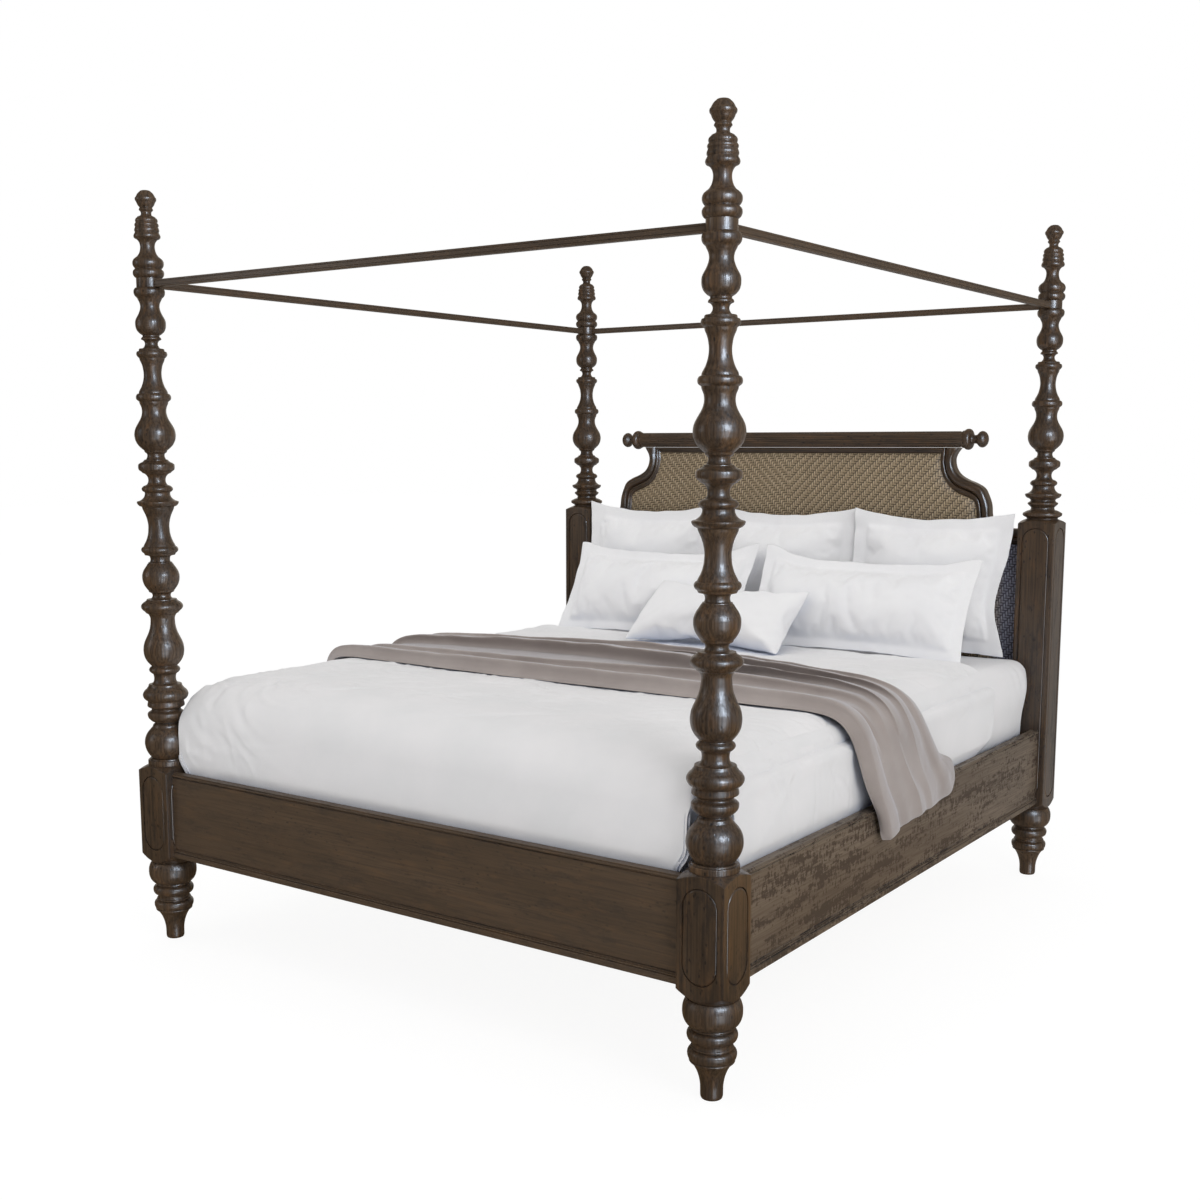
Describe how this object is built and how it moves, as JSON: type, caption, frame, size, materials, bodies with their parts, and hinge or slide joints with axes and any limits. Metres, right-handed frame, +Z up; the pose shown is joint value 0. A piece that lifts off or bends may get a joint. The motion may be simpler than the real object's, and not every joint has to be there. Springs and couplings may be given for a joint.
{
  "type": "four poster bed",
  "caption": "Four-poster bed with tall turned posts, an open square canopy rail, a scroll-shouldered woven headboard, low rails and dressed bedding.",
  "frame": {"origin": "on the floor at the centre of the footprint", "axes": "+Z up, +Y from the foot towards the headboard, +X to the right seen from the foot"},
  "size_m": [2.0984, 2.3634, 2.27],
  "materials": {
    "dark_wood": "satin dark brown stain over open grain, small pores and worn edges",
    "slat_pine": "bare sawn pine",
    "bracket_steel": "zinc-plated",
    "woven_raffia": "coarse chevron weave of flat tan strands with dark gaps",
    "sheet_cotton": "matte white cotton sheet",
    "duvet_cotton": "matte white cotton, softly creased",
    "pillow_cotton": "matte white cotton with sewn flanges",
    "throw_cloth": "soft brushed taupe cloth in long folds",
    "ticking": "quilted mattress ticking"
  },
  "bodies": {
    "bedstead": {"box_spring": "ticking", "canopy_rail_foot": "dark_wood", "canopy_rail_head": "dark_wood", "canopy_rail_left": "dark_wood", "canopy_rail_right": "dark_wood", "centre_leg_1": "slat_pine", "centre_leg_2": "slat_pine", "centre_leg_3": "slat_pine", "crest_knob_left": "dark_wood", "crest_knob_right": "dark_wood", "crest_roll": "dark_wood", "duvet": "duvet_cotton", "footboard_rail": "dark_wood", "headboard_back_panel": "dark_wood", "headboard_frame": "dark_wood", "headboard_lower_rail": "dark_wood", "headboard_weave_panel": "woven_raffia", "leg_foot_left": "dark_wood", "leg_foot_right": "dark_wood", "leg_head_left": "dark_wood", "leg_head_right": "dark_wood", "mattress": "sheet_cotton", "post_block_foot_left": "dark_wood", "post_block_foot_right": "dark_wood", "post_block_head_left": "dark_wood", "post_block_head_right": "dark_wood", "post_lower_foot_left": "dark_wood", "post_lower_foot_right": "dark_wood", "post_upper_foot_left": "dark_wood", "post_upper_foot_right": "dark_wood", "post_upper_head_left": "dark_wood", "post_upper_head_right": "dark_wood", "rail_base_moulding_foot": "dark_wood", "rail_base_moulding_left": "dark_wood", "rail_base_moulding_right": "dark_wood", "rail_bracket_foot_left": "bracket_steel", "rail_bracket_foot_right": "bracket_steel", "rail_bracket_head_left": "bracket_steel", "rail_bracket_head_right": "bracket_steel", "side_rail_left": "dark_wood", "side_rail_right": "dark_wood", "slat_1": "slat_pine", "slat_2": "slat_pine", "slat_3": "slat_pine", "slat_4": "slat_pine", "slat_5": "slat_pine", "slat_ledger_left": "slat_pine", "slat_ledger_right": "slat_pine"},
    "finial_foot_left": {"finial_foot_left": "dark_wood"},
    "finial_foot_right": {"finial_foot_right": "dark_wood"},
    "finial_head_left": {"finial_head_left": "dark_wood"},
    "finial_head_right": {"finial_head_right": "dark_wood"},
    "euro_sham_left": {"euro_sham_left": "pillow_cotton"},
    "euro_sham_middle": {"euro_sham_middle": "pillow_cotton"},
    "euro_sham_right": {"euro_sham_right": "pillow_cotton"},
    "king_sham_left": {"king_sham_left": "pillow_cotton"},
    "king_sham_right": {"king_sham_right": "pillow_cotton"},
    "lumbar_pillow": {"lumbar_pillow": "pillow_cotton"},
    "throw": {"throw_blanket": "throw_cloth"}
  },
  "joints": [
    {"name": "finial_foot_left_lift", "type": "slide", "parent": "bedstead", "child": "finial_foot_left", "axis": [0, 0, 1], "range_m": [0, 0.06]},
    {"name": "finial_foot_right_lift", "type": "slide", "parent": "bedstead", "child": "finial_foot_right", "axis": [0, 0, 1], "range_m": [0, 0.06]},
    {"name": "finial_head_left_lift", "type": "slide", "parent": "bedstead", "child": "finial_head_left", "axis": [0, 0, 1], "range_m": [0, 0.06]},
    {"name": "finial_head_right_lift", "type": "slide", "parent": "bedstead", "child": "finial_head_right", "axis": [0, 0, 1], "range_m": [0, 0.06]},
    {"name": "euro_sham_left_lift", "type": "slide", "parent": "bedstead", "child": "euro_sham_left", "axis": [0, 0, 1], "range_m": [0, 0.2]},
    {"name": "euro_sham_middle_lift", "type": "slide", "parent": "bedstead", "child": "euro_sham_middle", "axis": [0, 0, 1], "range_m": [0, 0.2]},
    {"name": "euro_sham_right_lift", "type": "slide", "parent": "bedstead", "child": "euro_sham_right", "axis": [0, 0, 1], "range_m": [0, 0.2]},
    {"name": "king_sham_left_slide", "type": "slide", "parent": "bedstead", "child": "king_sham_left", "axis": [0, 0.5371, 0.8435], "range_m": [0, 0.05]},
    {"name": "king_sham_right_slide", "type": "slide", "parent": "bedstead", "child": "king_sham_right", "axis": [0, 0.5371, 0.8435], "range_m": [0, 0.05]},
    {"name": "lumbar_pillow_lift", "type": "slide", "parent": "bedstead", "child": "lumbar_pillow", "axis": [0, 0, 1], "range_m": [0, 0.2]},
    {"name": "throw_lift", "type": "slide", "parent": "bedstead", "child": "throw", "axis": [0, 0, 1], "range_m": [0, 0.15]}
  ]
}
